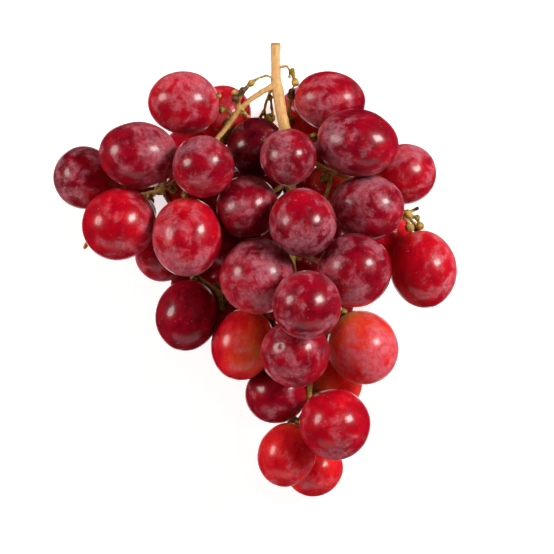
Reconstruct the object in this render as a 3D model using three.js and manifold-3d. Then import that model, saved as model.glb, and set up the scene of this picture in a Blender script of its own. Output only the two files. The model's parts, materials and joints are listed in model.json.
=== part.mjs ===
// A bunch of red table grapes, as cut from the vine and laid on a table.
//
// Millimetres, +Z up. The table top is the plane z = 0, the bunch lies along Y with the cut end of its
// stalk towards +Y, and X runs across it. The origin is on the table, under the middle of the bunch.
//
// The bunch is one woody stalk (main axis, side branches and the short stem of each berry, grown in one
// piece) and its berries. Each berry is a separate solid of revolution: its stem end sits on the flared
// end of a short stem, its blossom tip points away from it.

import * as THREE from 'three';
import { mergeVertices } from 'three/addons/utils/BufferGeometryUtils.js';
import Module from 'manifold-3d';

const wasm = await Module();
wasm.setup();

// ---- Driving dimensions ----

const GAP = 0.3;                // air between two neighbouring pieces
const PRESS = 0.8;              // how far a berry that rests on the table is flattened
const BERRY_SIDES = 10;         // facets round a berry
const BERRY_BANDS = 7;          // facets from its stem end to its tip
const STALK_RADII = [           // main axis: share of its length, radius there
  [0, 1.8], [0.03, 1.65], [0.09, 1.7], [0.13, 2.1], [0.18, 1.95], [0.25, 2.1], [0.34, 1.8], [0.45, 1.65],
  [0.56, 1.5], [0.67, 1.4], [0.78, 1.25], [0.89, 1.1], [1, 0.95],
];
const BRANCH_RADIUS = 1;        // side branch where it leaves the main axis
const BRANCH_END = 0.75;        // side branch at its last berry
const STEM_RADIUS = 0.7;        // short stem that holds one berry
const SEAT_RADIUS = 1.75;       // flared end of that stem, on which the berry sits
const SEAT_LENGTH = 2.2;        // length of the flare
const BRANCH_STEP = 5.5;        // length of one straight facet of a side branch
const STEM_STEP = 3.5;          // the same for a berry's stem
const SMOOTHING = 0.05;         // detail smaller than this is left out where stems join

// ---- Where the berries and branches grow ----
//
// Places are measured from the cut end of the stalk: x to the right of it, y down the bunch (negative),
// z above the table. A berry's width is across its axis and its length along it. tip is the direction of
// the blossom end; without one the berry points straight away from its branch. An inner berry gives way to
// the outer ones when the bunch is settled. Berries of a branch without a route grow on the main axis.

const MAIN_AXIS = [
  [0, 0, 36], [0, -11.5, 36.5], [1, -18.5, 37], [2, -25, 37.5], [3.5, -31, 37], [5, -42, 34], [6, -56, 33],
  [5.5, -70.5, 33], [6, -85, 32], [8.5, -99.5, 30], [11.5, -112.5, 28], [13, -123, 25.5], [11.5, -134, 23.5],
];

const BRANCHES = [
  {
    name: 'left_shoulder',
    route: [
      [0, -15, 37], [-5.5, -17.9, 38], [-12, -23, 38.5], [-21, -34.5, 37], [-30, -44, 33], [-40, -52, 30],
      [-48, -54, 27], [-56, -54, 21.5],
    ],
    berries: [
      { at: [-33, -21.5, 38], width: 22.4, length: 25.6, skin: 'bright', tip: [-1, 0.15, 0.2] },
      { at: [-19, -24.5, 21], width: 20.4, length: 21.6, skin: 'bright', tip: [-0.2, 0.35, -0.9] },
      { at: [-49, -40.5, 42], width: 23.6, length: 28.2, skin: 'wine', tip: [-1, 0.1, 0.2] },
      { at: [-69, -48, 27], width: 22.4, length: 24.6, skin: 'wine', tip: [-0.3, 0.22, 0.93] },
      { at: [-25.5, -45, 51], width: 21.8, length: 23.4, skin: 'wine', tip: [-0.1, 0.1, 1] },
      { at: [-56, -65, 40], width: 25.6, length: 27.2, skin: 'bright', tip: [-0.6, -0.5, 0.6] },
      { at: [-31, -69.5, 46], width: 24.4, length: 28.2, skin: 'bright', tip: [0.05, -1, 0.2] },
      { at: [-41, -75, 21], width: 20, length: 21.6, skin: 'wine', tip: [-0.4, -0.8, -0.2] },
      { at: [-51, -47.5, 11], width: 21.6, length: 23, skin: 'wine', inner: true },
      { at: [-32, -37, 12], width: 21.6, length: 23, skin: 'wine', inner: true },
      { at: [-34, -51, 21], width: 12.6, length: 13.4, skin: 'dark', inner: true },
      { at: [-47, -63.5, 20], width: 12.4, length: 13, skin: 'dark', inner: true },
    ],
  },
  {
    name: 'crown',
    thickness: 0.6,
    route: [[0.5, -15, 36], [-2.2, -17.6, 35], [-3.6, -21.5, 33.5], [-4.2, -24.5, 31]],
    berries: [
      { at: [-4.3, -36.6, 26.5], width: 20.8, length: 22, skin: 'dark', tip: [-0.1, -0.8, 0.5] },
    ],
  },
  {
    name: 'right_crown',
    thickness: 0.5,
    route: [
      [0.5, -8.6, 36.5], [3.2, -7.9, 38.5], [5.4, -9.8, 39], [6.9, -13.5, 37], [5.8, -17, 32], [5.5, -19, 27],
    ],
    berries: [
      { at: [19.5, -20.5, 34], width: 20.9, length: 25.8, skin: 'bright', tip: [1, -0.15, 0.15] },
      { at: [11, -23.5, 12], width: 19.8, length: 21.4, skin: 'bright', tip: [0.5, 0.3, -0.8] },
    ],
  },
  {
    name: 'right_shoulder',
    route: [
      [4.5, -38, 35], [11, -41, 36.5], [17, -45, 37], [24, -47.5, 35], [31, -49, 33], [38.5, -54.5, 31],
      [46, -61.5, 33],
    ],
    berries: [
      { at: [29, -36.5, 48], width: 23.6, length: 29.2, skin: 'wine', tip: [1, -0.15, 0.2] },
      { at: [46.5, -47, 26], width: 21.8, length: 23, skin: 'bright', tip: [0.8, 0.3, -0.25] },
      { at: [32.5, -59.5, 43], width: 23, length: 26.4, skin: 'wine', tip: [1, -0.05, 0.15] },
      { at: [53, -81, 32], width: 23.8, length: 28, skin: 'bright', tip: [0.15, -1, 0.15] },
      { at: [40, -70, 19], width: 20.4, length: 21.8, skin: 'bright', tip: [0.4, -0.6, -0.5] },
      { at: [20, -53, 25], width: 20.4, length: 21.8, skin: 'blush', tip: [0.2, -0.4, -0.9] },
      { at: [28, -40, 12], width: 21.6, length: 23, skin: 'wine', inner: true },
      { at: [4.5, -41.5, 52], width: 19.6, length: 21.6, skin: 'wine', tip: [0, -0.4, 0.9] },
      { at: [15.5, -37.5, 29.5], width: 12.6, length: 13.4, skin: 'wine', inner: true },
      { at: [10, -51, 9], width: 15, length: 16, skin: 'dark', inner: true },
    ],
  },
  {
    name: 'heart',
    route: [[6, -50, 33], [1, -52, 34], [-6, -57, 31], [-14, -62, 29]],
    berries: [
      { at: [-10, -59.5, 42], width: 22.2, length: 23.6, skin: 'wine', tip: [-0.1, -0.5, 0.9] },
      { at: [9.5, -65, 57], width: 23.4, length: 25.8, skin: 'wine', tip: [0.1, -0.6, 0.8] },
      { at: [-7, -47, 11], width: 22, length: 23.2, skin: 'dark', inner: true },
      { at: [-22, -63, 13], width: 21.6, length: 23, skin: 'dark', inner: true },
      { at: [-2.5, -67.5, 12], width: 21.6, length: 23, skin: 'dark', inner: true },
      { at: [-18.5, -73, 29], width: 16.8, length: 17.6, skin: 'dark', inner: true },
    ],
  },
  {
    name: 'right_heart',
    route: [[5.5, -74, 32], [12, -77, 34], [20, -80, 33]],
    berries: [
      { at: [28, -81, 50], width: 26, length: 27, skin: 'wine', tip: [-0.1, 0.1, 1] },
      { at: [20, -71, 11], width: 21.6, length: 23, skin: 'dark', inner: true },
      { at: [17, -93, 11], width: 21.6, length: 23, skin: 'dark', inner: true },
      { at: [10, -79.5, 22], width: 13.4, length: 14.2, skin: 'dark', inner: true },
    ],
  },
  {
    name: 'front',
    route: [[6.3, -87, 31.5], [9, -87.5, 37], [10, -88.5, 43]],
    berries: [
      { at: [11, -93.5, 65], width: 23.8, length: 25, skin: 'wine', tip: [0.1, -0.3, 0.9] },
    ],
  },
  {
    name: 'left_waist',
    route: [[6, -82, 31], [-2, -85, 31], [-12, -88, 28], [-21, -90, 25]],
    berries: [
      { at: [-6.5, -83.5, 47], width: 26.8, length: 27.6, skin: 'wine', tip: [-0.2, -0.4, 0.9] },
      { at: [-31.5, -98, 27], width: 22.4, length: 26, skin: 'dark', tip: [-0.2, -1, 0.2] },
      { at: [-28.5, -86, 10], width: 20.4, length: 21.8, skin: 'dark', tip: [-0.6, 0.2, -0.6] },
      { at: [-5.5, -90, 11], width: 21.6, length: 23, skin: 'dark', inner: true },
      { at: [-19.5, -96.5, 17], width: 14, length: 14.8, skin: 'dark', inner: true },
    ],
  },
  {
    name: 'left_tail',
    route: [[7, -93, 31], [1.5, -93.5, 30], [-3.5, -95, 29]],
    berries: [
      { at: [-12.5, -108, 30], width: 22.4, length: 26, skin: 'blush', tip: [-0.3, -1, 0.15] },
      { at: [-8.5, -111.5, 8.5], width: 18.2, length: 19.4, skin: 'wine', tip: [-0.5, -0.6, -0.5], inner: true },
    ],
  },
  {
    name: 'right_tail',
    route: [[8, -97, 30.5], [13, -97, 31.5], [20, -96.5, 31]],
    berries: [
      { at: [31.5, -109.5, 30], width: 25.2, length: 27.2, skin: 'blush', tip: [0.45, -0.85, 0.25] },
    ],
  },
  {
    name: 'tail',
    berries: [
      { at: [7, -111, 46], width: 24.2, length: 25, skin: 'wine', tip: [-0.4, 0.2, 0.9] },
      { at: [0.5, -126.5, 22], width: 21.8, length: 23, skin: 'wine', tip: [-0.8, -0.4, -0.3] },
      { at: [21, -123, 12], width: 21.6, length: 23, skin: 'bright', tip: [0.5, 0.35, -0.8] },
      { at: [21, -137, 36], width: 25.4, length: 26, skin: 'bright', tip: [0.3, -0.4, 0.8] },
      { at: [4.5, -148.5, 25], width: 20.8, length: 23.4, skin: 'bright', tip: [-0.35, -0.93, 0.1] },
      { at: [14, -155, 10], width: 19.4, length: 20.8, skin: 'bright', tip: [0.2, -0.9, -0.3] },
    ],
  },
];

// Dry twigs that lost their berries. Each ends in a small knob.
const TWIGS = [
  {
    radius: 0.42, knob: 0.7,
    route: [[-0.5, -12.6, 37], [-3.6, -11.7, 38.5], [-6, -12.7, 39.8], [-8.8, -14.6, 40.4]],
  },
  {
    radius: 0.75, knob: 0.9,
    route: [[-8.8, -14.4, 40.4], [-11, -17.1, 41], [-13, -19.6, 40.8], [-13.4, -24, 38.8]],
  },
  { radius: 0.6, knob: 1, route: [[-12.2, -18.4, 41], [-15, -17.8, 41.6]] },
  { radius: 0.5, knob: 0.65, route: [[-15.6, -20.4, 41], [-18, -19.6, 41.4], [-20.6, -19.2, 40.6]] },
  { radius: 0.6, knob: 0.8, route: [[-12.4, -23.6, 38.6], [-11, -25.6, 39.4], [-9.4, -26.8, 39.4]] },
  { radius: 0.4, knob: 0.6, route: [[5.2, -9.6, 39], [5, -12.6, 39.6]] },
  { radius: 0.5, knob: 0.6, route: [[6.4, -12.4, 38], [6.4, -9.2, 40.2]] },
  { radius: 0.5, knob: 0.7, route: [[-1.8, -18.6, 35], [-1.4, -23.2, 33], [-0.8, -27, 31.5]] },
  { radius: 0.55, knob: 0.7, route: [[46, -62, 33], [48.4, -60.6, 34], [51.6, -59, 35]] },
  { radius: 0.7, knob: 1.6, route: [[46.5, -61.6, 33.4], [50.5, -62.4, 34.5], [52.6, -66.4, 34.5]] },
  { radius: 0.7, knob: 1.5, route: [[46, -62, 33], [47.6, -64, 34.5], [48.4, -67, 34.5]] },
  { radius: 0.6, knob: 0.9, route: [[-56, -54, 21.5], [-62, -62, 19.5], [-67, -69, 23], [-69.6, -73.6, 27]] },
];

// Swellings where a twig forks or broke off: place and radius.
const SWELLINGS = [
  [[-8.9, -14.5, 40.4], 1.15], [[-14.6, -18.2, 41.4], 1.3], [[-15.2, -20.6, 40.9], 1.2], [[-2, -19.2, 34.8], 1.1],
  [[7, -13.8, 36.9], 1.45], [[5.7, -17.2, 31.8], 1.3], [[48.6, -62.4, 34], 1.35],
];

const SKIN_COLORS = { wine: 0x7a1226, bright: 0xb01020, blush: 0xc8502c, dark: 0x4a0a16 };
const STALK_COLOR = 0xc39a55;

// ---- Small helpers ----

const UP = new THREE.Vector3(0, 1, 0);   // a lathe turns its profile round this axis
const point = (place) => new THREE.Vector3(...place);

function closedGeometry(geometry) {
  geometry.deleteAttribute('normal');
  geometry.deleteAttribute('uv');
  return mergeVertices(geometry, 1e-4);
}

function solidOf(geometry) {
  const closed = closedGeometry(geometry);
  const vertProperties = new Float32Array(closed.attributes.position.array);
  const triVerts = new Uint32Array(closed.index.array);
  return new wasm.Manifold(new wasm.Mesh({ numProp: 3, vertProperties, triVerts }));
}

function geometryOf(solid) {
  const mesh = solid.getMesh();
  const geometry = new THREE.BufferGeometry();
  geometry.setAttribute('position', new THREE.BufferAttribute(mesh.vertProperties, 3));
  geometry.setIndex(new THREE.BufferAttribute(mesh.triVerts, 1));
  geometry.computeVertexNormals();
  return geometry;
}

// ---- Berries as ellipsoids of revolution ----

function makeBerry(branch, row, number) {
  const center = point(row.at);
  const tip = row.tip ? point(row.tip) : center.clone().sub(nearestOn(branch.curve, center));
  return {
    name: `grape_${branch.name}_${number}`,
    curve: branch.curve,
    center,
    home: center.clone(),
    tip: tip.normalize(),
    halfWidth: row.width / 2,
    halfLength: row.length / 2,
    skin: row.skin,
    // How readily the berry moves across the bunch and up or down when neighbours push it.
    give: row.inner ? new THREE.Vector3(1, 1, 1) : new THREE.Vector3(0.12, 0.12, 1),
    pull: row.inner ? 0.02 : 0.15,
  };
}

function nearestOn(curve, place) {
  const samples = curve.getPoints(60).slice(2, -2);
  return samples.reduce((best, p) => (p.distanceTo(place) < best.distanceTo(place) ? p : best));
}

// How far the berry reaches from its centre along a unit direction.
function reach(berry, direction) {
  const along = direction.dot(berry.tip);
  const across = Math.sqrt(Math.max(0, 1 - along * along));
  return Math.hypot(berry.halfWidth * across, berry.halfLength * along);
}

// Distance of a place from the berry's skin, and the way out of the berry there.
function skinDistance(berry, place) {
  const offset = place.clone().sub(berry.center);
  const along = offset.dot(berry.tip);
  const across = offset.clone().addScaledVector(berry.tip, -along);
  const scaled = Math.hypot(along / berry.halfLength, across.length() / berry.halfWidth);
  const outward = across.divideScalar(berry.halfWidth ** 2);
  outward.addScaledVector(berry.tip, along / berry.halfLength ** 2).normalize();
  return { distance: offset.length() * (1 - 1 / Math.max(scaled, 1e-3)), outward };
}

// Moves two berries apart along a direction, each by its share.
function part(a, b, direction, amount) {
  const shareA = a.give.clone().multiply(direction);
  const shareB = b.give.clone().multiply(direction);
  const step = amount / (shareA.dot(direction) + shareB.dot(direction));
  a.center.addScaledVector(shareA, -step);
  b.center.addScaledVector(shareB, step);
}

// Lets the bunch settle: berries stay near home, clear of each other, of the thick stalk and of the table.
function settle(berries, rods) {
  const ROUNDS = 900;
  const FREE_ROUNDS = 500;       // last rounds, when only contacts still act
  for (let round = 0; round < ROUNDS + FREE_ROUNDS; round++) {
    if (round < ROUNDS) berries.forEach((b) => b.center.lerp(b.home, b.pull * (1 - round / ROUNDS)));
    berries.forEach((a, i) => {
      for (const b of berries.slice(i + 1)) {
        const line = b.center.clone().sub(a.center);
        const distance = line.length();
        line.divideScalar(distance);
        const overlap = reach(a, line) + reach(b, line) + GAP - distance;
        if (overlap > 0) part(a, b, line, overlap);
      }
      for (const rod of rods) {
        const { distance, outward } = skinDistance(a, rod.at);
        const overlap = rod.radius + GAP - distance;
        if (overlap > 0) a.center.addScaledVector(outward, -overlap);
      }
      const lowest = reach(a, new THREE.Vector3(0, 0, 1)) - PRESS;
      a.center.z = Math.max(a.center.z, lowest);
    });
  }
}

function berryMesh(berry) {
  const profile = [];
  for (let i = 0; i <= BERRY_BANDS; i++) {
    const angle = (Math.PI * i) / BERRY_BANDS;
    const radius = i === 0 || i === BERRY_BANDS ? 0 : berry.halfWidth * Math.sin(angle);
    profile.push(new THREE.Vector2(radius, -berry.halfLength * Math.cos(angle)));
  }
  const geometry = new THREE.LatheGeometry(profile, BERRY_SIDES);
  geometry.applyQuaternion(new THREE.Quaternion().setFromUnitVectors(UP, berry.tip));
  geometry.translate(...berry.center.toArray());
  let solid = solidOf(geometry);
  if (berry.center.z - reach(berry, new THREE.Vector3(0, 0, 1)) < 0) solid = solid.subtract(tableSolid());
  const color = SKIN_COLORS[berry.skin];
  const material = new THREE.MeshStandardMaterial({ color, roughness: 0.35, metalness: 0 });
  const mesh = new THREE.Mesh(geometryOf(solid), material);
  mesh.name = berry.name;
  return mesh;
}

function tableSolid() {
  const SIZE = 400;
  return solidOf(new THREE.BoxGeometry(SIZE, SIZE, SIZE).translate(0, 0, -SIZE / 2));
}

// ---- The stalk ----

function stalkRadius(share) {
  const next = Math.max(1, STALK_RADII.findIndex(([place]) => place >= share));
  const [[fromShare, fromRadius], [toShare, toRadius]] = STALK_RADII.slice(next - 1, next + 1);
  return THREE.MathUtils.mapLinear(share, fromShare, toShare, fromRadius, toRadius);
}

// A tapered tube: a lathed profile, (radius, share of the length) at a time, bent along a curve.
function bentTube(curve, profile, sides) {
  const outline = [[0, 0], ...profile, [0, 1]].map(([radius, share]) => new THREE.Vector2(radius, share));
  const geometry = new THREE.LatheGeometry(outline, sides);
  const STEPS = 200;
  const frames = curve.computeFrenetFrames(STEPS);
  const places = geometry.attributes.position;
  for (let i = 0; i < places.count; i++) {
    const share = THREE.MathUtils.clamp(places.getY(i), 0, 1);
    const step = Math.round(share * STEPS);
    const place = curve.getPointAt(share);
    place.addScaledVector(frames.normals[step], places.getZ(i));
    place.addScaledVector(frames.binormals[step], places.getX(i));
    places.setXYZ(i, ...place.toArray());
  }
  return solidOf(geometry);
}

function evenProfile(radii, knob) {
  const last = radii.length - 1;
  const profile = radii.map((radius, i) => [radius, i / last]);
  if (knob) {
    profile[last] = [radii[last], 0.78];
    profile.push([knob, 0.86], [knob, 0.95], [knob * 0.5, 1]);
  }
  return profile;
}

function knobSolid(place, radius) {
  return solidOf(new THREE.IcosahedronGeometry(radius, 0).translate(...place.toArray()));
}

// Route of a berry's own stem, from the branch to the berry's stem end, bent round the other berries.
function stemRoute(berry, berries) {
  const POINTS = 13;
  const CLEAR = STEM_RADIUS + GAP;
  const seat = berry.center.clone().addScaledVector(berry.tip, -(berry.halfLength + GAP));
  const lead = seat.clone().addScaledVector(berry.tip, -SEAT_LENGTH);
  const start = nearestOn(berry.curve, lead);
  const route = [];
  for (let i = 0; i < POINTS; i++) route.push(start.clone().lerp(lead, i / (POINTS - 1)));
  for (let round = 0; round < 300; round++) {
    for (let i = 1; i < POINTS - 1; i++) {
      route[i].lerp(route[i - 1].clone().add(route[i + 1]).multiplyScalar(0.5), 0.5);
      for (const other of berries) {
        const { distance, outward } = skinDistance(other, route[i]);
        if (distance < CLEAR) route[i].addScaledVector(outward, CLEAR - distance);
      }
    }
  }
  return [...route, seat];
}

function stemSolid(berry, berries) {
  const curve = new THREE.CatmullRomCurve3(stemRoute(berry, berries), false, 'centripetal');
  const length = curve.getLength();
  const flare = 1 - SEAT_LENGTH / length;
  const steps = Math.max(1, Math.round((flare * length) / STEM_STEP));
  const profile = [];
  for (let i = 0; i <= steps; i++) profile.push([i ? STEM_RADIUS : STEM_RADIUS * 1.3, (flare * i) / steps]);
  profile.push([SEAT_RADIUS, 1 - 0.4 * SEAT_LENGTH / length], [SEAT_RADIUS * 0.85, 1]);
  return bentTube(curve, profile, 5);
}

function stalkMesh(mainCurve, branches, berries) {
  const main = bentTube(mainCurve, STALK_RADII.map(([share, radius]) => [radius, share]), 8);
  const sides = branches.filter((b) => b.route).flatMap((b) => {
    const steps = Math.ceil(b.curve.getLength() / BRANCH_STEP);
    const thickness = b.thickness ?? 1;
    const taper = (i) => THREE.MathUtils.lerp(BRANCH_RADIUS, BRANCH_END, i / steps) * thickness;
    const radii = Array.from({ length: steps + 1 }, (_, i) => taper(i));
    radii[0] *= 1.3;
    return [bentTube(b.curve, evenProfile(radii), 6), knobSolid(b.curve.getPointAt(1), BRANCH_END * 1.3)];
  });
  const twigs = TWIGS.map((twig) => {
    const curve = new THREE.CatmullRomCurve3(twig.route.map(point));
    const radii = twig.route.map((_, i) => (i ? twig.radius : twig.radius * 1.2));
    return bentTube(curve, evenProfile(radii, twig.knob), 5);
  });
  const swellings = SWELLINGS.map(([place, radius]) => knobSolid(point(place), radius));
  const stems = berries.map((berry) => stemSolid(berry, berries));
  const whole = [...sides, ...twigs, ...swellings, ...stems].reduce((sum, solid) => sum.add(solid), main);
  const material = new THREE.MeshStandardMaterial({ color: STALK_COLOR, roughness: 0.6, metalness: 0 });
  const pieces = whole.asOriginal().simplify(SMOOTHING).decompose();
  const [grown] = pieces.sort((a, b) => b.volume() - a.volume());   // the rest are crumbs of the union
  const mesh = new THREE.Mesh(geometryOf(grown), material);
  mesh.name = 'stalk';
  return mesh;
}

// ---- The whole bunch ----

const mainCurve = new THREE.CatmullRomCurve3(MAIN_AXIS.map(point));
BRANCHES.forEach((branch) => {
  branch.curve = branch.route ? new THREE.CatmullRomCurve3(branch.route.map(point)) : mainCurve;
});
const berries = BRANCHES.flatMap((branch) => branch.berries.map((row, i) => makeBerry(branch, row, i + 1)));
const curves = new Set(BRANCHES.map((branch) => branch.curve));
const rods = [...curves].flatMap((curve) => {
  const steps = Math.ceil(curve.getLength() / 2);
  const radius = (step) => (curve === mainCurve ? stalkRadius(step / steps) : BRANCH_RADIUS);
  return curve.getSpacedPoints(steps).map((at, step) => ({ at, radius: radius(step) }));
});
settle(berries, rods);

const bunch = new THREE.Group();
bunch.add(stalkMesh(mainCurve, BRANCHES, berries), ...berries.map(berryMesh));

const box = new THREE.Box3().setFromObject(bunch);
const middle = box.getCenter(new THREE.Vector3());
bunch.position.set(-middle.x, -middle.y, -box.min.z);

export default bunch;
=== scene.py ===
# %% [markdown]
# # A bunch of red grapes
#
# A bunch of grapes is one woody stalk and here fifty berries. Every berry is nearly the same solid, yet
# no two look alike: one is wine red under a grey wax, the next bright red where a neighbour rubbed the
# wax off. So the lesson models one good berry, copies it to every place on the stalk, and gives each copy
# its own ripeness and its own wax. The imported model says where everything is, so it is loaded first and
# never moved.

# %% Load the frame
import json
import math

import bmesh
import bpy
import numpy as np
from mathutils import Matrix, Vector

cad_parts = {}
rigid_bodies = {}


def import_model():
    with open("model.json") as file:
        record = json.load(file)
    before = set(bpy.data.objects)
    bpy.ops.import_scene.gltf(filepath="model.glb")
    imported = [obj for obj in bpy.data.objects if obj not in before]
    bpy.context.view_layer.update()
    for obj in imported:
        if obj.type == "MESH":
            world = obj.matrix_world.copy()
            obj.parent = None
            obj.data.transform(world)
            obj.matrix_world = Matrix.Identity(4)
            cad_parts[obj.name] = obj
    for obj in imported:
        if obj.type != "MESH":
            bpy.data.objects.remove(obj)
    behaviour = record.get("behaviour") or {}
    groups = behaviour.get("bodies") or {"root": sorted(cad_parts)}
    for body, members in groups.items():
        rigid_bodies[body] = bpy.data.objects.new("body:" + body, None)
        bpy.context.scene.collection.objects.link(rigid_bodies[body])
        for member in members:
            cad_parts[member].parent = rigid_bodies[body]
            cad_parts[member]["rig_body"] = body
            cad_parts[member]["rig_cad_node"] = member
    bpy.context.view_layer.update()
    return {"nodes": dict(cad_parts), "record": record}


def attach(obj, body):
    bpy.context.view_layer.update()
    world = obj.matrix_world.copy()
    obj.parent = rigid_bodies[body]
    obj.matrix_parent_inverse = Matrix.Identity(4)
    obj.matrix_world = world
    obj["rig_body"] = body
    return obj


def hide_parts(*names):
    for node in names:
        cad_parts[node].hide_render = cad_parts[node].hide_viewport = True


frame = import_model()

MM = 0.001
stalk_node = frame["nodes"]["stalk"]
berry_nodes = {name: node for name, node in frame["nodes"].items() if name != "stalk"}


# %% [markdown]
# Every other place in the scene is measured from the cut end of the stalk, because it is easy to find on
# the model: it is the part of the stalk that reaches furthest along +Y. A node's mesh comes in as loose
# triangles, so its corners are read once as an array, with the doubles taken out.

# %% Read the corners of a node
def corners(node):
    """The node's corners in metres, each once."""
    found = np.empty(len(node.data.vertices) * 3)
    node.data.vertices.foreach_get("co", found)
    return np.unique(found.reshape(-1, 3).round(6), axis=0)


stalk_corners = corners(stalk_node)
cut_end = Vector(stalk_corners[stalk_corners[:, 1] > stalk_corners[:, 1].max() - 0.5 * MM].mean(axis=0))
print("cut end at", [round(v * 1000, 1) for v in cut_end], "mm")

# %% [markdown]
# ## Camera, floor and light
#
# The bunch lies on a pale table and is seen from straight above, from nearly a metre away, so that near
# and far berries keep their true sizes. The axis of the camera passes a little to the right of the stalk.

# %% Camera
VIEW_MIDDLE = (0.5 * MM, -84 * MM)   # where the axis of the camera passes, from the cut end along X and Y
CAMERA_HEIGHT = 0.935
LENS = 162.45
camera = bpy.data.objects.new("camera", bpy.data.cameras.new("camera"))
bpy.context.scene.collection.objects.link(camera)
camera.location = (cut_end.x + VIEW_MIDDLE[0], cut_end.y + VIEW_MIDDLE[1], CAMERA_HEIGHT)
camera.data.sensor_width = 36
camera.data.lens = LENS
camera.data.clip_start = 0.05
bpy.context.scene.camera = camera
bpy.context.scene.view_settings.view_transform = "Standard"
print("camera", [round(v, 4) for v in camera.location])

# %% [markdown]
# Berries are glossy, so what they mirror matters more than what lights them. A soft light on each side
# makes the two bright marks on every berry, the right one the stronger, and a long low panel below the
# tail makes the pale lower third. A broad light above fills the shadows, but mirrors nowhere, or it would
# turn every berry milky. The floor is white and shines faintly by itself, as a light table does, which
# keeps its shadows thin. Its mirror image would grey the whole flank of a berry, so it is left out of
# reflections, and a panel under the floor, which only reflections can see, puts a thin pale rim round
# each berry.


# %% Helpers for Blender's operators
def pick(*objects):
    """Selects these objects and nothing else. The last one becomes the active one."""
    if bpy.context.object and bpy.context.object.mode != "OBJECT":
        bpy.ops.object.mode_set(mode="OBJECT")
    bpy.ops.object.select_all(action="DESELECT")
    for each in objects:
        each.select_set(True)
        bpy.context.view_layer.objects.active = each


LIT_MIDDLE = Vector((0, 0, 0.035))   # near the middle of the bunch, which every light looks at


def panel_light(name, toward, distance, size, power, color, shape="RECTANGLE", mirrored=True):
    """A flat soft light on the side of the bunch that toward points to. Size and distance are in metres."""
    light = bpy.data.lights.new(name, "AREA")
    light.shape = shape
    light.size, light.size_y = size
    light.energy = power
    light.color = color
    place = bpy.data.objects.new(name, light)
    bpy.context.scene.collection.objects.link(place)
    direction = Vector(toward).normalized()
    place.location = LIT_MIDDLE + direction * distance
    place.rotation_mode = "QUATERNION"
    place.rotation_quaternion = direction.to_track_quat("Z", "Y")
    place.visible_glossy = mirrored
    return place


# %% Lights
panel_light(
    "light_right", toward=(0.70, 0.34, 0.62), distance=1.0, size=(0.30, 0.36), power=10.0,
    color=(1.0, 0.98, 0.95)
)
panel_light(
    "light_left", toward=(-0.86, 0.24, 0.46), distance=1.0, size=(0.44, 0.44), power=6.0,
    color=(1.0, 0.90, 0.84), shape="ELLIPSE"
)
panel_light(
    "light_tail", toward=(0.0, -0.93, 0.30), distance=1.0, size=(1.8, 0.55), power=3.0,
    color=(1.0, 0.97, 0.95)
)
panel_light(
    "light_above", toward=(0.1, 0.15, 1.0), distance=1.3, size=(1.5, 1.5), power=2.4,
    color=(1.0, 0.97, 0.94), mirrored=False
)
panel_light(
    "light_below", toward=(0, 0, -1.0), distance=0.6, size=(0.6, 0.6), power=1.3, color=(1.0, 0.93, 0.92)
)

world = bpy.data.worlds.new("room")
bpy.context.scene.world = world
world.use_nodes = True
world.node_tree.nodes["Background"].inputs["Color"].default_value = (0.93, 0.94, 0.95, 1)
world.node_tree.nodes["Background"].inputs["Strength"].default_value = 1.0
world.cycles_visibility.diffuse = False
world.cycles_visibility.glossy = False
print(len(bpy.data.lights), "lights")

# %% Floor
FLOOR_WIDTH = 6.0
FLOOR_DROP = 0.2 * MM   # the floor lies this far under the bunch, so that the two faces never share a plane
FLOOR_GREY = (0.86, 0.86, 0.86, 1)
FLOOR_SHINE = 0.66
pick()
bpy.ops.mesh.primitive_plane_add(size=FLOOR_WIDTH, location=(0, 0, -FLOOR_DROP))
floor = bpy.context.object
floor.name = "floor"
floor_paint = bpy.data.materials.new("floor_white")
floor_paint.use_nodes = True
floor_shader = floor_paint.node_tree.nodes["Principled BSDF"]
floor_shader.inputs["Base Color"].default_value = FLOOR_GREY
floor_shader.inputs["Roughness"].default_value = 0.9
floor_shader.inputs["Emission Color"].default_value = (1, 1, 1, 1)
floor_shader.inputs["Emission Strength"].default_value = FLOOR_SHINE
floor.data.materials.append(floor_paint)
floor.visible_glossy = False
print("floor", FLOOR_WIDTH, "m wide")


# %% [markdown]
# ## Writing a material as a sum
#
# A grape's skin is a stack of simple things added together: flesh colour, blotches, wax, specks. Wiring
# that by hand takes a hundred clicks. Here a small class wraps one socket, so that a + b adds a Math
# node, and one method makes every other kind of node.


# %% A socket that can be calculated with
class Value:
    """A number that varies over a surface. Sums with it become Math nodes."""

    def __init__(self, tree, socket):
        self.tree = tree
        self.socket = socket

    def math(self, operation, *others, clamp=False):
        return self.tree.node(
            "ShaderNodeMath", {"operation": operation, "use_clamp": clamp}, dict(enumerate((self, *others)))
        )

    def __add__(self, other):
        return self.math("ADD", other)

    def __sub__(self, other):
        return self.math("SUBTRACT", other)

    def __mul__(self, other):
        return self.math("MULTIPLY", other)

    def __rsub__(self, other):
        return (self * -1) + other

    def between(self, low, high):
        """0 below low, 1 above high and smooth between; the other way round if low is the larger."""
        sockets = {"Value": self, "From Min": low, "From Max": high}
        return self.tree.node("ShaderNodeMapRange", {"interpolation_type": "SMOOTHSTEP"}, sockets)

    def clamped(self):
        return self.math("ADD", 0.0, clamp=True)


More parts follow.
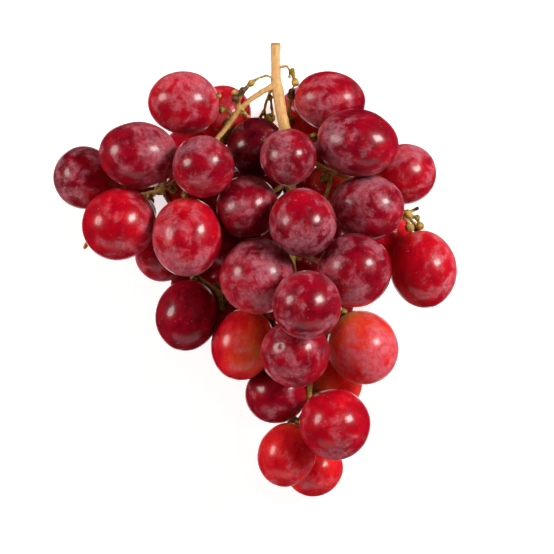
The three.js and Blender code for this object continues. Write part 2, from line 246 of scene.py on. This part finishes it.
class Recipe:
    """A material and the means to add nodes to it."""

    def __init__(self, name):
        self.material = bpy.data.materials.new(name)
        self.material.use_nodes = True
        self.nodes = self.material.node_tree.nodes
        self.shader = self.nodes["Principled BSDF"]

    def link(self, target, value):
        if isinstance(value, Value):
            self.material.node_tree.links.new(value.socket, target)
        else:
            target.default_value = value

    def node(self, kind, settings=None, sockets=None, output=0):
        made = self.nodes.new(kind)
        for key, value in (settings or {}).items():
            if key == "stops":
                while len(made.color_ramp.elements) < len(value):
                    made.color_ramp.elements.new(0.5)
                for element, (position, color) in zip(made.color_ramp.elements, value):
                    element.position = position
                    element.color = (*color, 1)
            else:
                setattr(made, key, value)
        for key, value in (sockets or {}).items():
            self.link(made.inputs[key], value)
        return Value(self, made.outputs[output])

    def attribute(self, name, output="Fac"):
        return self.node("ShaderNodeAttribute", {"attribute_name": name}, output=output)

    def place(self, scale=(1, 1, 1)):
        """Where the surface is, in metres of the row frame, stretched by scale."""
        spot = self.node("ShaderNodeTexCoord", output="Object")
        return self.node("ShaderNodeMapping", {}, {"Vector": spot, "Scale": scale})

    def noise(self, where, scale, detail=3.0, rough=0.5, distortion=0.0):
        sockets = {"Vector": where, "Scale": scale, "Detail": detail}
        sockets.update({"Roughness": rough, "Distortion": distortion})
        return self.node("ShaderNodeTexNoise", {}, sockets)

    def mix(self, factor, first, second):
        """Two colours, mixed: the first where factor is 0 and the second where it is 1."""
        sockets = {"Factor": factor, 6: first, 7: second}
        return self.node("ShaderNodeMix", {"data_type": "RGBA"}, sockets, output=2)

    def set(self, **sockets):
        for name, value in sockets.items():
            self.link(self.shader.inputs[name.replace("_", " ")], value)


def paint(red, green, blue):
    """A colour as a paint chart gives it, 0 to 255, as the light values that a shader wants."""
    shares = [value / 255 for value in (red, green, blue)]
    return tuple(share / 12.92 if share < 0.04 else ((share + 0.055) / 1.055) ** 2.4 for share in shares)


print("wine red is", [round(v, 3) for v in paint(120, 18, 38)])

# %% [markdown]
# ## Grape skin
#
# Red grapes colour from the tip towards the stem: pale peach, orange, scarlet, crimson, wine and almost
# black. One number, ripeness, picks the colour from a ramp, so a blotch is just a place with a slightly
# different number. Over that lies the bloom, a grey-pink wax that hazes the gloss and comes off wherever
# something rubbed it.

# %% Ramp of ripeness
RIPENESS_COLOURS = [
    (0.00, paint(222, 166, 138)),
    (0.10, paint(218, 132, 62)),
    (0.20, paint(232, 86, 50)),
    (0.30, paint(228, 40, 42)),
    (0.42, paint(202, 8, 32)),
    (0.52, paint(182, 4, 30)),
    (0.65, paint(154, 4, 31)),
    (0.78, paint(120, 3, 24)),
    (0.90, paint(84, 2, 18)),
    (1.00, paint(52, 1, 12)),
]
WAX_PINK = (*paint(214, 138, 156), 1)
SPECK_PINK = (*paint(240, 190, 186), 1)
CORK_BROWN = (*paint(120, 96, 48), 1)
SCAR_BROWN = (*paint(70, 30, 24), 1)
print("ripeness has", len(RIPENESS_COLOURS), "colours")


# %% Flesh under the skin
def berry_parts(skin):
    """How far a spot is along its berry and from its axis, and its place stretched into long fibres."""
    own = skin.attribute("berry_place", output="Vector")
    tipward = skin.node("ShaderNodeSeparateXYZ", {}, {"Vector": own}, output="Z")
    sideways = skin.node("ShaderNodeVectorMath", {"operation": "MULTIPLY"}, {0: own, 1: (1, 1, 0)})
    from_axis = skin.node("ShaderNodeVectorMath", {"operation": "LENGTH"}, {0: sideways}, output="Value")
    stretched = skin.node("ShaderNodeVectorMath", {"operation": "MULTIPLY"}, {0: own, 1: (6.0, 6.0, 0.8)})
    fibres = skin.node("ShaderNodeVectorMath", {"operation": "ADD"}, {0: stretched, 1: skin.place()})
    return tipward, from_axis, fibres


def flesh_colour(skin, tipward, fibres):
    """The ramp of ripeness, with blotches, streaks from stem to tip and fine grain, and paler at the stem."""
    blotches = skin.noise(skin.place(), 170, detail=5, rough=0.6, distortion=0.3)
    streaks = skin.noise(fibres, 1.5, detail=4, rough=0.65)
    grain = skin.noise(skin.place(), 1000, detail=3, rough=0.6)
    unevenness = (blotches - 0.5) * 0.62 + (streaks - 0.5) * 0.30 + (grain - 0.5) * 0.20
    ripeness = skin.attribute("ripeness")
    strength = ripeness.between(0.15, 0.60) * 0.6 + 0.4
    ripe_here = ripeness + unevenness * strength - tipward.between(-0.55, -1.0) * 0.14
    return skin.node("ShaderNodeValToRGB", {"stops": RIPENESS_COLOURS}, {"Fac": ripe_here.clamped()})


# %% [markdown]
# The bloom lies in clouds a few millimetres wide. Where it is thick it hides the gloss. It is also full
# of fine crumbs, since the wax is made of tiny flakes, and in some places the flakes stand together as
# pale specks.


# %% Bloom
def bloom(skin):
    """How thick the wax is from 0 to 1, its crumbs as heights, and its pale specks."""
    cloud = skin.noise(skin.place(), 150, detail=6, rough=0.62, distortion=0.35)
    crumbs = skin.noise(skin.place(), 560, detail=4, rough=0.65)
    dust = skin.noise(skin.place(), 2300, detail=2, rough=0.7)
    cover = (cloud + skin.attribute("bloom") * 0.25 - 0.65).between(-0.06, 0.12)
    wax = cover * (crumbs.between(0.36, 0.64) * 0.62 + dust.between(0.30, 0.60) * 0.20 + 0.18)
    flakes = {"Vector": skin.place(), "Scale": 620.0}
    cells = skin.node("ShaderNodeTexVoronoi", {"feature": "F1"}, flakes, output="Distance")
    specks = cells.between(0.26, 0.10) * skin.noise(skin.place(), 210).between(0.50, 0.64)
    return wax, crumbs * 0.6 + dust * 0.12, specks


# %% The whole skin
def grape_skin(name, clearness, depth):
    """A skin whose flesh lets light in: clearness says how much of it, depth how far, in metres."""
    skin = Recipe(name)
    tipward, from_axis, fibres = berry_parts(skin)
    wax, height, specks = bloom(skin)
    cork = tipward.between(-0.55, -1.0) * from_axis.between(0.24, 0.12)
    scar = tipward.between(0.9, 0.98) * from_axis.between(0.040, 0.020)
    colour = flesh_colour(skin, tipward, fibres)
    colour = skin.mix(wax * 0.54, colour, WAX_PINK)
    colour = skin.mix(specks * 0.16, colour, SPECK_PINK)
    colour = skin.mix(cork * 0.85, colour, CORK_BROWN)
    colour = skin.mix(scar * 0.55, colour, SCAR_BROWN)
    sockets = {"Strength": 0.10, "Distance": 0.0004, "Height": height + specks * 0.5}
    bump = skin.node("ShaderNodeBump", {}, sockets, output="Normal")
    skin.set(Base_Color=colour, Roughness=wax * 0.22 + 0.28, Coat_Weight=1.0 - wax * 0.40, Normal=bump)
    skin.shader.inputs["Specular IOR Level"].default_value = 0.20
    skin.shader.inputs["Coat Roughness"].default_value = 0.17
    skin.shader.inputs["Coat IOR"].default_value = 1.30
    skin.shader.inputs["Subsurface Weight"].default_value = clearness
    skin.shader.inputs["Subsurface Radius"].default_value = (1.0, 0.16, 0.10)
    skin.shader.inputs["Subsurface Scale"].default_value = depth
    print(name, "has", len(skin.nodes), "nodes")
    return skin.material


SKINS = {
    "skin_wine": grape_skin("skin_wine", 0.45, 2.5 * MM),
    "skin_bright": grape_skin("skin_bright", 0.75, 4.5 * MM),
    "skin_blush": grape_skin("skin_blush", 0.80, 5.5 * MM),
    "skin_dark": grape_skin("skin_dark", 0.35, 2.0 * MM),
}

# %% [markdown]
# ## Stalk
#
# The stalk is tan wood at the cut end and turns green towards the berries. Twigs that lost their berries
# dry to dark brown and the cut browns as an apple does. Deep inside the bunch the wood is darkened with
# painted shade. Four numbers painted on the mesh, young, dry, cut and deep, say which is where.

# %% Colours of the wood
WOOD_PALE = (*paint(236, 188, 122), 1)
WOOD_GRAIN = (*paint(212, 160, 88), 1)
WOOD_PATCH = (*paint(160, 108, 52), 1)
GREEN_PALE = (*paint(196, 166, 56), 1)
GREEN_DARK = (*paint(66, 58, 18), 1)
DRY_PALE = (*paint(112, 72, 30), 1)
DRY_DARK = (*paint(60, 40, 18), 1)
CUT_BROWN = (*paint(132, 88, 46), 1)
SHADE_BROWN = (*paint(48, 38, 14), 1)
print("a deep brown is", [round(v, 3) for v in SHADE_BROWN[:3]])

# %% Material of the stalk
bark = Recipe("grape_stalk")
grain_spot = bark.place(scale=(1, 0.14, 1))
young = bark.attribute("young")
dry = bark.attribute("dry")
fibres = bark.noise(grain_spot, 1500, detail=3, rough=0.6)
patches = bark.noise(bark.place(), 320, detail=4, rough=0.6)
wood = bark.mix(fibres.between(0.35, 0.7), WOOD_PALE, WOOD_GRAIN)
wood = bark.mix(patches.between(0.54, 0.74) * 0.40, wood, WOOD_PATCH)
mottle = bark.noise(bark.place(), 620, detail=4, rough=0.65)
green = bark.mix(mottle.between(0.42, 0.60), GREEN_PALE, GREEN_DARK)
living = bark.mix(young, wood, green)
brown = bark.mix(fibres.between(0.3, 0.7), DRY_PALE, DRY_DARK)
dried = bark.mix((dry * 1.4 - patches * 0.5).clamped(), living, brown)
browned = bark.mix(bark.attribute("cut") * 0.75, dried, CUT_BROWN)
# painted shade: the wood turns towards SHADE_BROWN the deeper it lies in the bunch
shaded = bark.mix(bark.attribute("deep") * 0.7, browned, SHADE_BROWN)
ridges = bark.noise(grain_spot, 1100, detail=3)
ridge_sockets = {"Strength": 0.35, "Distance": 0.0005, "Height": ridges}
bark_bump = bark.node("ShaderNodeBump", {}, ridge_sockets, output="Normal")
bark.set(Base_Color=shaded, Roughness=patches * 0.2 + 0.45, Normal=bark_bump)
bark.shader.inputs["Subsurface Weight"].default_value = 0.08
bark.shader.inputs["Subsurface Radius"].default_value = (1.0, 0.7, 0.3)
bark.shader.inputs["Subsurface Scale"].default_value = 1.0 * MM
print("bark has", len(bark.nodes), "nodes")

# %% [markdown]
# ## One berry
#
# The berry starts as a sphere of radius one with its stem end at the bottom. Round the stem the skin is
# drawn in a little, and the tip carries the small scar where the flower fell off. Both are shaped by
# pulling a ring of corners and letting its neighbours follow. The place of each corner on this first
# berry is stored on the mesh, so that the skin knows stem end from tip on every later copy.


# %% Shape the berry
def pull(obj, chosen, shift, spread):
    """Moves the corners that chosen accepts, and takes the neighbours within spread along softly."""
    bpy.ops.object.mode_set(mode="EDIT")
    bpy.ops.mesh.select_all(action="DESELECT")
    shape = bmesh.from_edit_mesh(obj.data)
    for corner in shape.verts:
        corner.select = chosen(corner.co)
    shape.select_flush(True)
    bmesh.update_edit_mesh(obj.data)
    bpy.ops.transform.translate(
        value=shift, use_proportional_edit=True, proportional_edit_falloff="SMOOTH", proportional_size=spread
    )
    bpy.ops.object.mode_set(mode="OBJECT")


def from_pole(co):
    return math.hypot(co.x, co.y)


def round_the_stem(co):
    return co.z < 0 and 0.17 < from_pole(co) < 0.28


def at_the_tip(co):
    return co.z > 0 and from_pole(co) < 0.06


pick()
bpy.ops.mesh.primitive_uv_sphere_add(segments=64, ring_count=44, radius=1.0, location=(0, 0, 0))
model_berry = bpy.context.object
model_berry.name = "model_berry"
pull(model_berry, round_the_stem, shift=(0, 0, 0.022), spread=0.14)
pull(model_berry, at_the_tip, shift=(0, 0, -0.016), spread=0.12)
bpy.ops.object.shade_smooth()
print("model berry:", len(model_berry.data.polygons), "faces")

# %% Note every corner's place on the berry
place_on_berry = np.empty(len(model_berry.data.vertices) * 3)
model_berry.data.vertices.foreach_get("co", place_on_berry)
noted = model_berry.data.attributes.new("berry_place", "FLOAT_VECTOR", "POINT")
noted.data.foreach_set("vector", place_on_berry)
place_on_berry = place_on_berry.reshape(-1, 3)

# %% [markdown]
# ## Where each berry sits
#
# A packed berry is a faceted solid of revolution: rings of corners and one corner at each end. Its
# corners spread most along its own axis, so that axis is found from how they vary together. The stem end
# is the end that is nearer to the stalk.


# %% Measure a packed berry
RING_SHARE = math.sin(3 * math.pi / 7)   # the widest ring of corners lies this share of the half width out
GROWN = 0.15 * MM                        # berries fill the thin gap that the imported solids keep


def measure(node):
    """Centre, direction from stem to tip, half width and half length of a packed berry."""
    points = corners(node)
    middle = points.mean(axis=0)
    spread, directions = np.linalg.eigh(np.cov((points - middle).T))
    axis = directions[:, 2]
    along = (points - middle) @ axis
    ends = middle + np.outer([along.min(), along.max()], axis)
    center = ends.mean(axis=0)
    gap = [np.linalg.norm(stalk_corners - end, axis=1).min() for end in ends]
    if gap[1] < gap[0]:
        axis = -axis
    offset = points - center
    across = np.linalg.norm(offset - np.outer(offset @ axis, axis), axis=1).max()
    half_length = (along.max() - along.min()) / 2
    return Vector(center), Vector(axis), across / RING_SHARE + GROWN, half_length + GROWN


measured = {name: measure(node) for name, node in berry_nodes.items()}
widths = sorted(round(2000 * m[2], 1) for m in measured.values())
print("berry widths from", widths[0], "to", widths[-1], "mm")

# %% [markdown]
# ## How ripe each berry is
#
# Berries of one bunch ripen unevenly, and hands and neighbours rub the wax off some sides and not others.
# The list gives each berry its ripeness and how much wax it wears. A direction goes with each: it points
# to the side that is less ripe or wears more wax, and its length says by how much. On two berries, noted in
# the list, the colour also carries painted light and shade. The berries inside the bunch are all dark and
# dull, and share one row.

# %% Looks of the berries
INSIDE = (0.64, (0, 0, 0), 0.08, (0, 0, 0))
LOOKS = {   # ripeness, its paler side, wax, its waxier side
    "grape_left_shoulder_1": (0.54, (-0.04, 0.06, 0), 0.70, (0.10, 0.40, 0)),
    "grape_left_shoulder_2": (0.44, (0, 0.05, 0), 0.50, (0, 0, 0)),
    "grape_left_shoulder_3": (0.69, (0, 0, 0), 0.70, (0.35, 0.05, 0)),
    "grape_left_shoulder_4": (0.68, (0.14, -0.05, 0), 0.62, (-0.10, 0.10, 0)),
    "grape_left_shoulder_5": (0.67, (0.02, -0.10, 0), 0.58, (0, 0.30, 0)),
    "grape_left_shoulder_6": (0.52, (0, 0.04, 0), 0.42, (0.40, -0.05, 0)),
    "grape_left_shoulder_7": (0.52, (0, 0.10, 0), 0.66, (-0.30, -0.35, 0)),
    "grape_left_shoulder_8": (0.56, (0, 0, 0), 0.45, (0, -0.30, 0)),
    "grape_left_shoulder_9": (0.62, (0, 0, 0), 0.15, (0, 0, 0)),
    "grape_left_shoulder_10": (0.60, (0, 0, 0), 0.30, (0, 0, 0)),
    "grape_crown_1": (0.88, (0, 0, 0), 0.20, (0, 0, 0)),
    "grape_right_crown_1": (0.64, (-0.05, 0.05, 0), 0.62, (-0.10, -0.15, 0)),
    "grape_right_crown_2": (0.40, (0, 0, 0), 0.80, (0, 0.20, 0)),
    "grape_right_shoulder_1": (0.71, (0.06, 0, 0), 0.45, (-0.45, 0, 0)),
    "grape_right_shoulder_2": (0.55, (0, 0, 0), 0.60, (0, 0.30, 0)),
    "grape_right_shoulder_3": (0.70, (0, -0.04, 0), 0.75, (-0.20, 0.35, 0)),
    # right_shoulder_4 wears its wax thickest on the right: partly bloom, partly a painted sheen of the
    # right-hand lamp
    "grape_right_shoulder_4": (0.47, (0.04, 0.06, 0), 0.45, (0.55, 0.10, 0)),
    "grape_right_shoulder_5": (0.44, (0, 0, 0), 0.15, (0, 0, 0)),
    "grape_right_shoulder_6": (0.40, (0.20, 0.10, 0), 0.30, (0, 0, 0)),
    "grape_right_shoulder_7": (0.66, (0, 0, 0), 0.40, (0, 0, 0)),
    "grape_right_shoulder_8": (0.72, (0, 0.04, 0), 0.62, (0, -0.10, 0)),
    "grape_right_shoulder_9": (0.68, (0, 0, 0), 0.30, (0, 0, 0)),
    "grape_heart_1": (0.74, (0, 0.04, 0), 0.48, (0, 0.10, 0)),
    "grape_heart_2": (0.70, (0, 0.16, 0), 0.66, (0, -0.25, 0)),
    "grape_right_heart_1": (0.69, (0, -0.04, 0), 0.58, (-0.10, 0, 0)),
    "grape_front_1": (0.69, (0, 0, 0), 0.75, (0, 0, -0.30)),
    "grape_left_waist_1": (0.67, (-0.10, -0.14, 0), 0.80, (0.05, 0.05, 0)),
    "grape_left_waist_2": (0.71, (0, 0, 0), -0.20, (0, -0.45, 0)),
    # left_tail_1 is paler towards its top: partly its own amber, partly a painted glow of light through the
    # flesh, with painted shade at its edges
    "grape_left_tail_1": (0.46, (0.16, -0.04, 0.24), 0.30, (0, 0, 0)),
    "grape_right_tail_1": (0.29, (-0.05, 0.06, 0), 0.85, (0.10, -0.15, 0)),
    "grape_tail_1": (0.65, (0, -0.03, 0), 0.52, (-0.20, -0.10, 0)),
    "grape_tail_2": (0.71, (0, -0.04, 0), 0.15, (0, -0.45, 0)),
    "grape_tail_3": (0.30, (0, 0, 0), 0.00, (0, 0, 0)),
    "grape_tail_4": (0.52, (0, 0.06, 0), 0.35, (0.10, -0.30, 0)),
    "grape_tail_5": (0.37, (0, 0.03, 0), 0.25, (0, -0.40, 0)),
    "grape_tail_6": (0.37, (0, 0.03, 0), 0.40, (0, 0, 0)),
}
print(len(LOOKS), "berries with looks of their own, of", len(measured))

# %% [markdown]
# ## Copy the berry to its places
#
# Each copy is scaled to its measured width and length, turned onto its axis and moved to its centre. Then
# the move is applied, so that the place is in the mesh. A soft displacement makes each one slightly
# uneven, and what would reach into the table is pressed flat.

# %% Copy, place and shape
unevenness = bpy.data.textures.new("unevenness", "CLOUDS")
unevenness.noise_scale = 11 * MM
unevenness.noise_depth = 1


def apply_modifier(obj, kind, **settings):
    """Adds a modifier with these settings and applies it at once."""
    pick(obj)
    modifier = obj.modifiers.new(kind.lower(), kind)
    for key, value in settings.items():
        setattr(modifier, key, value)
    bpy.ops.object.modifier_apply(modifier=modifier.name)


def press_flat(obj):
    """Corners below the table come up onto it."""
    pick(obj)
    bpy.ops.object.mode_set(mode="EDIT")
    bpy.ops.mesh.select_all(action="DESELECT")
    shape = bmesh.from_edit_mesh(obj.data)
    below = [corner for corner in shape.verts if corner.co.z < 0]
    for corner in below:
        corner.select = True
    shape.select_flush(True)
    bmesh.update_edit_mesh(obj.data)
    if below:
        bpy.ops.transform.resize(value=(1, 1, 0), center_override=(0, 0, 0))
    bpy.ops.object.mode_set(mode="OBJECT")
    return len(below)


def store(mesh, name, values):
    mesh.attributes.new(name, "FLOAT", "POINT").data.foreach_set("value", np.asarray(values, dtype=float))


def grow_berry(name, center, axis, half_width, half_length):
    """A copy of the model berry for one packed berry."""
    pick(model_berry)
    bpy.ops.object.duplicate()
    berry = bpy.context.object
    berry.name = "skin_of_" + name
    berry.rotation_mode = "QUATERNION"
    berry.rotation_quaternion = Vector((0, 0, 1)).rotation_difference(axis)
    berry.scale = (half_width, half_width, half_length)
    berry.location = center
    bpy.ops.object.transform_apply(location=True, rotation=True, scale=True)
    ripe, paler_side, wax, waxier_side = LOOKS.get(name, INSIDE)
    outward = np.empty(len(berry.data.vertices) * 3)
    berry.data.vertices.foreach_get("co", outward)
    outward = (outward.reshape(-1, 3) - np.array(center)) / half_width
    store(berry.data, "ripeness", ripe - outward @ np.array(paler_side))
    store(berry.data, "bloom", wax + outward @ np.array(waxier_side))
    apply_modifier(
        berry, "DISPLACE", texture=unevenness, texture_coords="LOCAL", strength=0.55 * MM, mid_level=0.5
    )
    pressed = press_flat(berry)
    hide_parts(name)
    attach(berry, "root")
    return berry, pressed


slots = {row["node"]: row["material_slot"] for row in frame["record"]["subparts"]}
for name in sorted(measured):
    berry, pressed = grow_berry(name, *measured[name])
    berry.data.materials.append(SKINS[slots[name]])
    if pressed:
        print(name, "is pressed flat at", pressed, "corners")
bpy.data.objects.remove(model_berry)

# %% [markdown]
# ## The stalk, with its joints grown together
#
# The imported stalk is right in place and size, but it is made of straight facets, and its triangles are
# loose. A copy of it is taken, and the doubles in the copy are merged.

# %% Copy the stalk
pick(stalk_node)
bpy.ops.object.duplicate()
stalk = bpy.context.object
stalk.name = "wood_of_stalk"
stalk.parent = None
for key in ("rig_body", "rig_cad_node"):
    if key in stalk:
        del stalk[key]
pick(stalk)
bpy.ops.object.mode_set(mode="EDIT")
bpy.ops.mesh.select_all(action="SELECT")
bpy.ops.mesh.remove_doubles(threshold=0.001 * MM)
bpy.ops.object.mode_set(mode="OBJECT")
print("packed stalk:", len(stalk.data.vertices), "corners")

# %% [markdown]
# Two things are added to the copy. Where the berries leave a chink that would show the table, a short
# stem runs on from the nearest wood and fills it. These stems are filler, thicker than the ones of a real
# bunch, and dark: they stand partly for stems and partly for the shade in the chink. And where a berry or
# a twig broke off, the wood keeps a small rounded knob.

# %% Places of the added wood
STEM_OVERRUN = 1.5 * MM
# the filler stems are dark wood that stands partly for the shade between the berries
INNER_STEMS = [   # how far each end is from the cut end, in millimetres, and the radius there
    ((-2.2, -26.5, -6.0), 1.7), ((-41.8, -48.5, -16.0), 2.0), ((-46.4, -56.0, -18.0), 1.4),
    ((6.5, -137.1, -22.0), 1.9), ((-18.8, -33.7, -16.0), 1.6), ((-18.8, -92.7, -18.0), 1.6),
    ((-0.9, -101.6, -14.0), 1.4), ((19.1, -105.7, -18.0), 1.5),
]
KNOBS = [   # the places of the knobs, likewise, and their radii
    ((-8.7, -14.6, 4.5), 1.25), ((-11.8, -17.2, 5.1), 1.1), ((-14.6, -20.3, 4.8), 1.2),
    ((-20.4, -19.2, 4.6), 1.0), ((-11.4, -25.4, 3.0), 0.9), ((5.9, -9.8, 3.9), 0.8),
    ((7.1, -14.4, 1.5), 1.3), ((5.8, -17.0, -3.8), 1.2), ((-2.0, -19.4, -1.2), 1.1),
    ((48.2, -66.3, -1.5), 1.65), ((52.2, -65.6, -1.5), 1.4), ((47.4, -61.0, -1.8), 1.3),
    ((51.0, -62.6, -1.5), 1.1),
]


def from_cut_end(places):
    """Places given in millimetres from the cut end of the stalk, in metres of the row frame."""
    return np.array(cut_end) + np.array(places) * MM


def inner_stem(tip, radius):
    """A short round stem from the nearest wood to a little beyond tip."""
    root = Vector(stalk_corners[np.linalg.norm(stalk_corners - tip, axis=1).argmin()])
    run = Vector(tip) - root
    run *= 1 + STEM_OVERRUN / run.length
    bpy.ops.mesh.primitive_cylinder_add(
        vertices=16, radius=radius, depth=run.length,
        location=root + run / 2, rotation=run.to_track_quat("Z", "Y").to_euler()
    )
    return bpy.context.object


# %% Add the wood
pick()
inner_stems = [inner_stem(from_cut_end(tip), radius * MM) for tip, radius in INNER_STEMS]
knobs = []
for place, radius in KNOBS:
    bpy.ops.mesh.primitive_ico_sphere_add(subdivisions=3, radius=radius * MM, location=from_cut_end(place))
    knobs.append(bpy.context.object)
pick(*inner_stems, *knobs, stalk)
bpy.ops.object.join()
print(len(inner_stems), "inner stems and", len(knobs), "knobs")

# %% [markdown]
# The whole is then wrapped in a fine even skin, smoothed, and made uneven, which leaves the swollen
# joints of real wood.

# %% Wrap and smooth the wood
WRAP_GRAIN = 0.32 * MM
apply_modifier(stalk, "REMESH", mode="VOXEL", voxel_size=WRAP_GRAIN)
apply_modifier(stalk, "SMOOTH", factor=0.5, iterations=6)
lumps = bpy.data.textures.new("lumps", "CLOUDS")
lumps.noise_scale = 3.2 * MM
lumps.noise_depth = 2
apply_modifier(
    stalk, "DISPLACE", texture=lumps, texture_coords="LOCAL", strength=0.45 * MM, mid_level=0.22
)
bpy.ops.object.shade_smooth()
print("stalk:", len(stalk.data.polygons), "faces")

# %% [markdown]
# What the material needs to know is stored at every corner of the finished wood, as numbers from 0 to 1.
# Young and dry fade with the distance from the places that they belong to. Deep grows with the depth
# below the cut end and darkens the wood there as painted shade, and cut fades quickly behind the cut.

# %% Where the stalk is young, dry, cut and deep
wood_at = np.empty(len(stalk.data.vertices) * 3)
stalk.data.vertices.foreach_get("co", wood_at)
wood_at = wood_at.reshape(-1, 3)
stem_ends = np.array([
    center - axis * half_length for center, axis, _, half_length in measured.values()
])
GREEN_KNOTS = [   # in millimetres from the cut end, as are the dry ones
    (-4.5, -12.0, 3.2), (-1.6, -23.0, -3.0), (-1.0, -27.0, -4.5), (5.2, -11.0, 3.3), (50.5, -64.0, -1.5)
]
DRY_KNOTS = [(-11.8, -17.4, 5.0), (-14.8, -20.4, 4.9), (5.8, -17.0, -4.0), (51.6, -59.0, -1.0)]


DEEP_REACH = 14 * MM
CUT_REACH = 0.8 * MM


def near(places, reach, most):
    """For each corner of the stalk: most, less the distance to the nearest place, counted in reaches."""
    apart = wood_at[:, None, :] - places[None, :, :]
    return most - np.sqrt((apart ** 2).sum(axis=2)).min(axis=1) / reach


def mark(name, amount):
    """Stores amount on the stalk, held between 0 and 1."""
    store(stalk.data, name, np.clip(amount, 0, 1))


near_berry = near(stem_ends, reach=9 * MM, most=1.15)
knots = GREEN_KNOTS + [place for place, _ in KNOBS]
near_knot = near(from_cut_end(knots), reach=3.5 * MM, most=1.2)
near_inner_stem = near(from_cut_end([tip for tip, _ in INNER_STEMS]), reach=6 * MM, most=1.5)
mark("young", np.maximum.reduce([near_berry, near_knot, near_inner_stem]))
mark("dry", near(from_cut_end(DRY_KNOTS), reach=1.9 * MM, most=1.7))
# deep is painted shade, darker the lower the wood lies under the cut end
mark("deep", (cut_end.z - wood_at[:, 2]) / DEEP_REACH - 0.4)
mark("cut", 1.2 - (cut_end.y - wood_at[:, 1]) / CUT_REACH)
print("young, dry, deep and cut are stored at", len(wood_at), "corners")

# %% Finish the stalk
stalk.data.materials.clear()
stalk.data.materials.append(bark.material)
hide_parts("stalk")
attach(stalk, "root")
